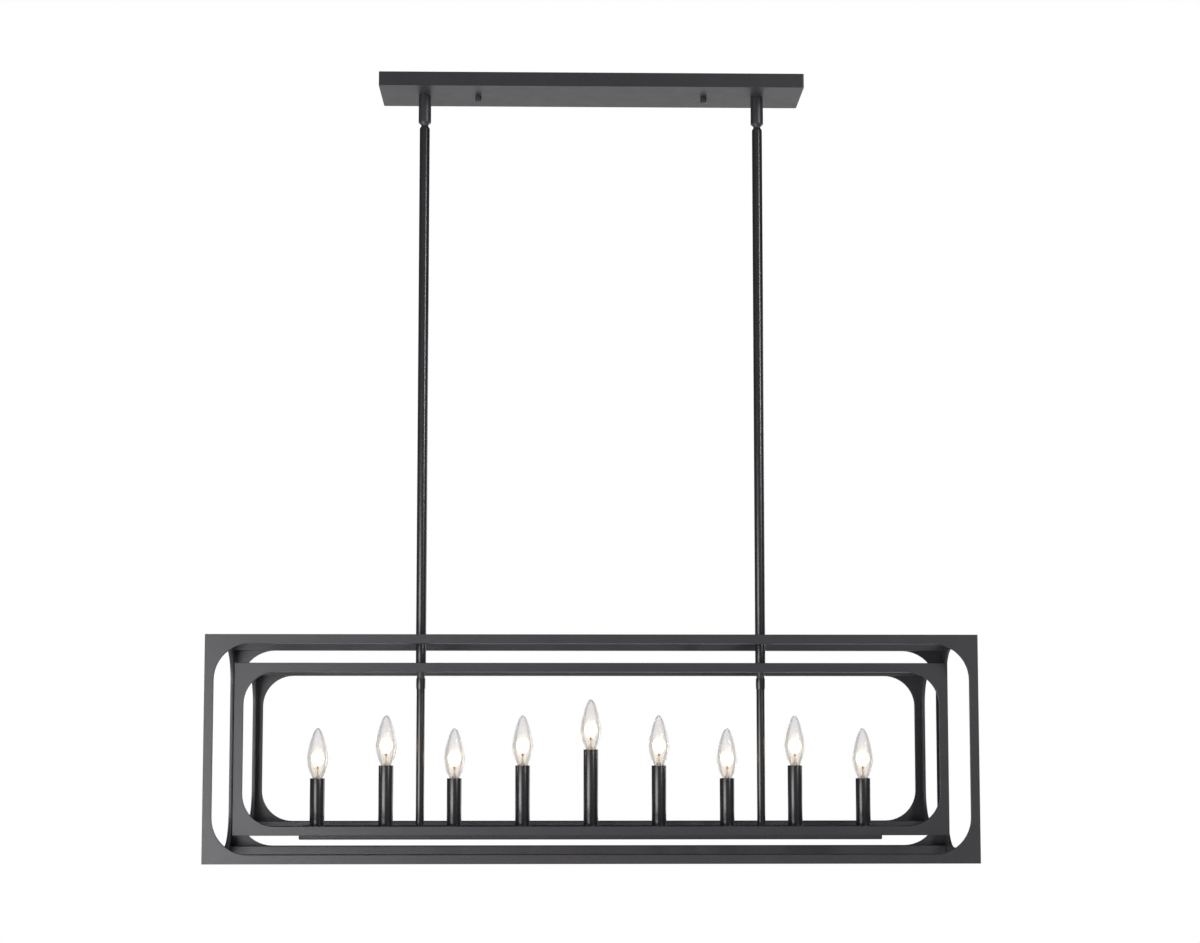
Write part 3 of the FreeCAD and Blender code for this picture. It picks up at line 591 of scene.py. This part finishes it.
def tube_section(outside, inside, ease):
    """The wall of a tube with eased ends."""
    return lambda foot, top: [(inside, top, ease), (outside, top, ease),
                              (outside, foot, ease), (inside, foot, ease)]


def coupling_section(foot, top):
    """A cap over the lower stem, with a narrower bore through its roof."""
    under = top - COUPLING_ROOF
    return [(ROD_BORE, top, 0), (COUPLING_RADIUS, top, 0.0006), (COUPLING_RADIUS, foot, 0.0004),
            (COUPLING_BORE, foot, 0), (COUPLING_BORE, under, 0), (ROD_BORE, under, 0)]


rod_section = tube_section(ROD_RADIUS, ROD_BORE, 0.0004)
stem_section = tube_section(STEM_RADIUS, STEM_BORE, 0.0003)
for side in SIDES:
    turned_piece(f"rod_{side}", rod_section, TUBE_PAINT)
    turned_piece(f"spacer_tube_{side}", rod_section, TUBE_PAINT)
    turned_piece(f"stem_coupling_{side}", coupling_section, TUBE_PAINT)
    turned_piece(f"lower_stem_{side}", stem_section, TUBE_PAINT)
report("tubes")

# %% Frames, straps and tray
for cage in ("outer", "inner"):
    for face in ("front", "back", *SIDES):
        soften(f"{cage}_{face}_frame", PLATE_EDGE)
    for side in SIDES:
        soften(f"{cage}_top_strap_{side}", SHEET_EDGE)
soften("candle_tray", SHEET_EDGE)
soften("tray_cover", SHEET_EDGE)
report("cages and tray")

# %% [markdown]
# ## Candle sleeves
#
# Each lamp rises from a thin tube with rounded rims, in three heights. The sleeves repeat, so
# Geometry Nodes draws them: one wall section swept round a circle, set on a line of points. A
# loop could copy a turned tube too, but a tree keeps the sizes as inputs that can be tried out.
# The short sleeves stand on every second point but the middle one.

# %% Building and running node trees


class Steps:
    """A geometry node tree under construction."""

    def __init__(self, name, **sockets):
        """Each kind of socket is given with the labels of the tree's inputs of that kind."""
        self.tree = bpy.data.node_groups.new(name, "GeometryNodeTree")
        self.tree.is_modifier = True
        for kind, labels in sockets.items():
            for label in labels.split():
                self.tree.interface.new_socket(label, in_out="INPUT",
                                               socket_type=f"NodeSocket{kind}")
        self.tree.interface.new_socket("Geometry", in_out="OUTPUT",
                                       socket_type="NodeSocketGeometry")
        self.given = self.tree.nodes.new("NodeGroupInput")
        self.result = self.tree.nodes.new("NodeGroupOutput")

    def value(self, label):
        """One of the tree's own inputs."""
        return self.given.outputs[label]

    def add(self, kind, settings=None, output=0, **inputs):
        """Any node, with values or other nodes' sockets on its inputs."""
        return new_node(self.tree, kind, settings, inputs).outputs[output]

    def maths(self, operation, first, second=0.0):
        """One Math node."""
        return self.add("ShaderNodeMath", {"operation": operation}, at0=first, at1=second)

    def finish(self, geometry, material):
        """Realize, give the material and close the tree."""
        real = self.add("GeometryNodeRealizeInstances", Geometry=geometry)
        done = self.add("GeometryNodeSetMaterial", Geometry=real, Material=material)
        self.tree.links.new(done, self.result.inputs["Geometry"])
        return self.tree


def grown(name, tree, numbers):
    """Run a node tree with its named inputs set, and keep the mesh it makes."""
    helper = placed(name, bpy.data.meshes.new(name))
    modifier = helper.modifiers.new("Grown", "NODES")
    modifier.node_group = tree
    for item in tree.interface.items_tree:
        if item.item_type == "SOCKET" and item.in_out == "INPUT":
            modifier[item.identifier] = numbers[item.name]
    return kept_mesh(helper, name)


# %% The tree for a row of sleeves


def sleeve_tree():
    """Rows of upright tubes with rounded rims."""
    steps = Steps("sleeve_row", Float="Height Radius Wall Rim", Vector="First Step",
                  Int="Count Skipped")
    wall = steps.add("GeometryNodeCurvePrimitiveQuadrilateral",
                     Width=steps.value("Wall"), Height=steps.value("Height"))
    eased = steps.add("GeometryNodeFilletCurve", {"mode": "POLY"}, Curve=wall, Count=4,
                      Radius=steps.value("Rim"))
    half_wall = steps.maths("MULTIPLY", steps.value("Wall"), 0.5)
    ring = steps.add("GeometryNodeCurvePrimitiveCircle", Resolution=96,
                     Radius=steps.maths("SUBTRACT", steps.value("Radius"), half_wall))
    swept = steps.add("GeometryNodeCurveToMesh", Curve=ring, Profile_Curve=eased)
    raised = steps.add("ShaderNodeCombineXYZ",
                       Z=steps.maths("MULTIPLY", steps.value("Height"), 0.5))
    tube = steps.add("GeometryNodeTransform", Geometry=swept, Translation=raised)
    smooth = steps.add("GeometryNodeSetShadeSmooth", Geometry=tube, Shade_Smooth=True)
    row = steps.add("GeometryNodeMeshLine", Count=steps.value("Count"),
                    Start_Location=steps.value("First"), Offset=steps.value("Step"))
    wanted = steps.add("FunctionNodeCompare", {"data_type": "INT", "operation": "NOT_EQUAL"},
                       A=steps.add("GeometryNodeInputIndex"), B=steps.value("Skipped"))
    tubes = steps.add("GeometryNodeInstanceOnPoints", Points=row, Instance=smooth,
                      Selection=wanted)
    return steps.finish(tubes, TUBE_PAINT)


# %% The three rows
PITCH = 0.107
SLEEVE_RADIUS, SLEEVE_WALL, SLEEVE_RIM = 0.0115, 0.001, 0.00042
NONE = -1
ROWS = {
    "low": {"first": -4, "count": 5, "skipped": 2},
    "mid": {"first": -3, "count": 4, "skipped": NONE},
    "high": {"first": 0, "count": 1, "skipped": NONE},
}
row_of_sleeves = sleeve_tree()
for size, row in ROWS.items():
    node = f"candle_sleeves_{size}"
    _, foot, top = middle(node)
    mesh = grown(f"{node}_tubes", row_of_sleeves, {
        "Height": top - foot, "Radius": SLEEVE_RADIUS, "Wall": SLEEVE_WALL, "Rim": SLEEVE_RIM,
        "First": (row["first"] * PITCH, 0.0, foot), "Step": (2 * PITCH, 0.0, 0.0),
        "Count": row["count"], "Skipped": row["skipped"],
    })
    add_piece(f"{node}_tubes", mesh, TUBE_PAINT, "hanging_frame", [node])
report("sleeves")

# %% [markdown]
# ## Bulbs
#
# The glass is blown with a narrow neck, a belly a little below its middle and a soft tip. Its
# section is two Bezier curves, because a squeezed sphere has neither the neck nor the tip.
# Inside, a spiral filament fills the belly, held by two bright leads that rise beside a pinched
# stem with a brown bead on its end. The leads are NURBS wires, and the spiral follows a rule, so
# a node tree winds it.

# %% Glass
GLASS_NECK, GLASS_WIDE, GLASS_TALL, GLASS_WALL = 0.0074, 0.01625, 0.0795, 0.0008
BELLY = 0.032
NECK_HANDLE = (0.0040, 0.0105)
BELLY_HANDLE_DOWN, BELLY_HANDLE_UP, TIP_HANDLE = 0.0145, 0.0105, 0.0082


def bezier(poles, steps):
    """Points on a cubic curve of four poles, without its first point."""
    points = []
    for step in range(1, steps + 1):
        part = step / steps
        rest = 1 - part
        weights = (rest ** 3, 3 * rest ** 2 * part, 3 * rest * part ** 2, part ** 3)
        points.append(tuple(sum(weight * pole[axis] for weight, pole in zip(weights, poles))
                            for axis in (0, 1)))
    return points


def bulb_side(inset, foot):
    """The glass's section from its neck up to its tip, on its outer or inner face."""
    neck, wide, tall = GLASS_NECK - inset, GLASS_WIDE - inset, GLASS_TALL - inset
    lower = [(neck, 0.0), (neck + NECK_HANDLE[0], NECK_HANDLE[1]),
             (wide, BELLY - BELLY_HANDLE_DOWN), (wide, BELLY)]
    upper = [(wide, BELLY), (wide, BELLY + BELLY_HANDLE_UP), (TIP_HANDLE - inset, tall),
             (0.0, tall)]
    side = [lower[0]] + bezier(lower, 28) + bezier(upper, 48)
    return [(across, foot + up) for across, up in side]


def mark_heights(mesh, foot, tall):
    """Write each point's share of the way up as an attribute."""
    along = mesh.attributes.new("along", "FLOAT", "POINT")
    along.data.foreach_set("value", [(vertex.co.z - foot) / tall for vertex in mesh.vertices])


def blown_glass(name, x, foot):
    """A closed thin wall of glass, open at its neck."""
    outer = bulb_side(0.0, foot)
    inner = bulb_side(GLASS_WALL, foot)
    mesh = turn(name, outer + inner[::-1], x, closed=True, sides=96)
    mark_heights(mesh, foot, GLASS_TALL)
    return mesh


# %% Stem and leads
STEM_TALL = 0.0200
STEM_CORNERS = (
    (0, 0, 0), (0.0040, 0, 0.0004), (0.0030, 0.003, 0.001), (0.0014, 0.008, 0.001),
    (0.0010, 0.0155, 0.0006), (0.0017, 0.0180, 0.0007), (0.0010, STEM_TALL, 0.0004),
    (0, STEM_TALL, 0),
)
LEAD_SPREAD, LEAD_RADIUS = 0.0026, 0.00035
LEAD_ROUTE = ((0.0034, 0.001), (0.0030, 0.008), (0.0022, 0.0150), (0.0026, 0.0185),
              (LEAD_SPREAD, 0.0205), (LEAD_SPREAD, 0.022))


def pressed_stem(name, x, foot):
    """A stem that widens at its foot and carries a bead at its top."""
    corners = [(across, foot + up, ease) for across, up, ease in STEM_CORNERS]
    mesh = turn(name, rounded(corners), x, sides=32)
    mark_heights(mesh, foot, STEM_TALL)
    return mesh


def wires(name, routes, radius):
    """Round wires along routes of points, as one mesh."""
    curve = bpy.data.curves.new(name, "CURVE")
    curve.dimensions = "3D"
    curve.bevel_depth = radius
    curve.bevel_resolution = 1
    curve.use_fill_caps = True
    for route in routes:
        spline = curve.splines.new("NURBS")
        spline.points.add(len(route) - 1)
        for point, place in zip(spline.points, route):
            point.co = (*place, 1.0)
        spline.order_u = 3
        spline.use_endpoint_u = True
    mesh = kept_mesh(placed(name, curve), name)
    for polygon in mesh.polygons:
        polygon.use_smooth = True
    return mesh


# %% The filament's tree
COIL_RADIUS = 0.0066
COIL = {"Turns": 10.0, "Radius": COIL_RADIUS, "Height": 0.021,
        "Ends": LEAD_SPREAD / COIL_RADIUS, "Wire": 0.0008}
COIL_FOOT = 0.0215


def filament_tree():
    """A spiral of glowing wire with a round section, widest at half its height."""
    steps = Steps("filament", Float="Turns Radius Height Ends Wire", Vector="Place")
    height, ends = steps.value("Height"), steps.value("Ends")
    spiral = steps.add("GeometryNodeCurveSpiral", Resolution=28, Rotations=steps.value("Turns"),
                       Start_Radius=steps.value("Radius"), End_Radius=steps.value("Radius"),
                       Height=height)
    place = steps.add("GeometryNodeInputPosition")
    up = steps.add("ShaderNodeSeparateXYZ", output=2, Vector=place)
    part = steps.maths("DIVIDE", up, height)
    arch = steps.maths("SINE", steps.maths("MULTIPLY", part, math.pi))
    grows_by = steps.maths("MULTIPLY", arch, steps.maths("SUBTRACT", 1.0, ends))
    swell = steps.maths("ADD", grows_by, ends)
    spread = steps.add("ShaderNodeCombineXYZ", X=swell, Y=swell, Z=1.0)
    moved = steps.add("ShaderNodeVectorMath", {"operation": "MULTIPLY"}, at0=place, at1=spread)
    swollen = steps.add("GeometryNodeSetPosition", Geometry=spiral, Position=moved)
    section = steps.add("GeometryNodeCurvePrimitiveCircle", Resolution=6,
                        Radius=steps.value("Wire"))
    wire = steps.add("GeometryNodeCurveToMesh", Curve=swollen, Profile_Curve=section,
                     Fill_Caps=True)
    smooth = steps.add("GeometryNodeSetShadeSmooth", Geometry=wire, Shade_Smooth=True)
    raised = steps.add("GeometryNodeTransform", Geometry=smooth, Translation=steps.value("Place"))
    return steps.finish(raised, FILAMENT)


# %% Nine lamps
spiral_filament = filament_tree()
for number in range(1, 10):
    body = f"bulb_{number}"
    glass_node = f"bulb_glass_{number}"
    x, foot, _ = middle(glass_node)
    glass = blown_glass(f"{body}_glass", x, foot)
    add_piece(f"{body}_glass", glass, GLASS, body, [glass_node])
    stem = pressed_stem(f"{body}_stem", x, foot)
    add_piece(f"{body}_stem", stem, STEM, body)
    routes = [[(x + way * across, 0, foot + up) for across, up in LEAD_ROUTE] for way in (-1, 1)]
    leads = wires(f"{body}_leads", routes, LEAD_RADIUS)
    add_piece(f"{body}_leads", leads, BRASS, body)
    coil = grown(f"{body}_filament", spiral_filament,
                 {**COIL, "Place": (x, 0.0, foot + COIL_FOOT)})
    add_piece(f"{body}_filament", coil, FILAMENT, body)
report("lamps")

# %% [markdown]
# ## What stays as it came
#
# The bracket, screws, nuts, nipples, sockets and screw bases are hidden in the finished lamp, or
# nearly so, and their solids are right. They keep their meshes and take a real surface.

# %% Materials of the carried-over nodes
FINISHES = {COAT_SLOT: PAINT, "zinc_plated_steel": STEEL, "green_paint": GREEN,
            "black_socket_plastic": PLASTIC, BRASS_SLOT: BRASS, GLASS_SLOT: GLASS}
for part in RECORD["subparts"]:
    mesh = NODES[part["node"]].data
    mesh.materials.clear()
    mesh.materials.append(FINISHES[part["material_slot"]])
print("nodes with a finish", len(RECORD["subparts"]))

# %% [markdown]
# ## Light, floor and camera
#
# The backdrop is white paper, and the fixture is lit as a catalogue lights it: a broad soft
# source from the front left, a tall narrow one from the front right, a soft one from behind and
# a weak one from below. The camera sees none of them, not even through glass.
#
# Black gloss on white paper would turn grey, so world and floor answer each ray by its kind:
# white for the camera and through glass, dim for a reflection. Paper shows white because of its
# colour. The camera stands at the cages' height and looks up a little, as the photograph's
# perspective asks.

# %% World and floor
WORLD_GLOSS, WORLD_GLOSS_LEAST, WORLD_FILL = 0.30, 0.02, 0.30
PAPER_GLOW, PAPER_GLOSS = 0.95, 0.8
FLOOR_HEIGHT, FLOOR_REACH = -2.2, 25.0
BACK_START, BACK_SLOPE = 1.5, 0.4
EDGE_START, EDGE_SLOPE = 4.0, 0.25


def ray_kinds(tree):
    """1 for a ray from the camera or through glass, and 1 for a glossy reflection's ray."""
    rays = tree.nodes.new("ShaderNodeLightPath")
    direct = Shade(tree, rays.outputs["Is Camera Ray"])
    through = Shade(tree, rays.outputs["Is Transmission Ray"])
    return (direct + through).clamp(), Shade(tree, rays.outputs["Is Glossy Ray"])


def studio_world():
    """White to the camera and through glass; in gloss, brighter towards the front."""
    world = bpy.data.worlds.new("studio")
    bpy.context.scene.world = world
    tree = cleared_tree(world)
    seen, gloss = ray_kinds(tree)
    way = Shade(tree, tree.nodes.new("ShaderNodeTexCoord").outputs["Generated"])
    front = way.node("ShaderNodeSeparateXYZ", Vector=way, output=1) * -0.5 + 0.5
    mirrored = front ** 2.0 * WORLD_GLOSS + WORLD_GLOSS_LEAST
    strength = seen + (1.0 - seen) * (gloss * mirrored + (1.0 - gloss) * WORLD_FILL)
    back = tree.nodes.new("ShaderNodeBackground")
    back.inputs["Color"].default_value = (1.0, 1.0, 1.0, 1.0)
    tree.links.new(strength.socket, back.inputs["Strength"])
    output = tree.nodes.new("ShaderNodeOutputWorld")
    tree.links.new(back.outputs["Background"], output.inputs["Surface"])


def mixed_shader(tree, share, first, second):
    """Blend two shaders by a share from 0 to 1."""
    blend = tree.nodes.new("ShaderNodeMixShader")
    for plug, socket in zip(blend.inputs, (share, first, second)):
        tree.links.new(socket, plug)
    return blend.outputs["Shader"]


def paper():
    """Pale paper that shows white and takes a soft shadow; from underneath it is clear."""
    material = bpy.data.materials.new("paper")
    tree = cleared_tree(material)
    seen, gloss = ray_kinds(tree)
    place = Shade(tree, tree.nodes.new("ShaderNodeTexCoord").outputs["Object"])
    behind = place.node("ShaderNodeSeparateXYZ", Vector=place, output=1)
    far_back = ((behind - BACK_START) * BACK_SLOPE).clamp()
    away = place.node("ShaderNodeVectorMath", {"operation": "LENGTH"}, output=1, at0=place)
    edge = ((away - EDGE_START) * EDGE_SLOPE).clamp()
    glowing = seen * (edge * (1.0 - PAPER_GLOW) + PAPER_GLOW) + gloss * (far_back * PAPER_GLOSS)
    sheet = tree.nodes.new("ShaderNodeBsdfDiffuse")
    sheet.inputs["Color"].default_value = (0.8, 0.8, 0.8, 1.0)
    glow = tree.nodes.new("ShaderNodeEmission").outputs["Emission"]
    top_side = mixed_shader(tree, glowing.clamp().socket, sheet.outputs["BSDF"], glow)
    underneath = tree.nodes.new("ShaderNodeNewGeometry").outputs["Backfacing"]
    clear = tree.nodes.new("ShaderNodeBsdfTransparent").outputs["BSDF"]
    output = tree.nodes.new("ShaderNodeOutputMaterial")
    tree.links.new(mixed_shader(tree, underneath, top_side, clear), output.inputs["Surface"])
    return material


def white_floor(height, reach):
    """A square of paper under the fixture."""
    mesh = bpy.data.meshes.new("paper_floor")
    corners = [(-reach, -reach, height), (reach, -reach, height), (reach, reach, height),
               (-reach, reach, height)]
    mesh.from_pydata(corners, [], [(0, 1, 2, 3)])
    mesh.materials.append(paper())
    floor = placed("paper_floor", mesh)


studio_world()
white_floor(FLOOR_HEIGHT, FLOOR_REACH)

# %% Soft boxes
SOFT_BOXES = (
    # name, place, target, width, height, watts
    ("key", (-1.5, -1.75, -1.45), (-0.35, 0, -1.05), 1.5, 1.4, 58.0),
    ("fill", (2.2, -2.4, 0.22), (0.1, 0, -0.5), 0.22, 1.55, 48.0),
    ("back", (2.2, 2.5, -0.9), (0, 0, -0.9), 2.2, 2.2, 34.0),
    ("below", (0.0, -1.2, -2.1), (0, 0, -0.6), 2.4, 1.4, 5.0),
)


def soft_box(name, place, target, width, height, watts):
    """A rectangular soft light aimed at a point."""
    light = bpy.data.lights.new(name, "AREA")
    light.shape = "RECTANGLE"
    light.size = width
    light.size_y = height
    light.energy = watts
    lamp = placed(name, light)
    lamp.location = place
    lamp.rotation_euler = (Vector(target) - Vector(place)).to_track_quat("-Z", "Y").to_euler()
    lamp.visible_camera = False
    lamp.visible_transmission = False


for box in SOFT_BOXES:
    soft_box(*box)
print("soft boxes", [box[0] for box in SOFT_BOXES])

# %% Camera
PHOTO_WIDE, FOCAL_PIXELS, SENSOR_WIDE = 1200.0, 2281.3, 36.0
PITCH_UP, TURN_RIGHT = 0.0923, 0.0206
camera = placed("camera", bpy.data.cameras.new("camera"))
bpy.context.scene.camera = camera
camera.data.sensor_width = SENSOR_WIDE
camera.data.lens = FOCAL_PIXELS / PHOTO_WIDE * SENSOR_WIDE
camera.data.shift_y = 0.045
camera.location = (-0.0598, -3.6002, -1.0500)
camera.rotation_euler = (math.pi / 2 + PITCH_UP, 0.0, -TURN_RIGHT)
print("lens", round(camera.data.lens, 2), "mm")

bpy.context.scene.view_settings.view_transform = "Standard"
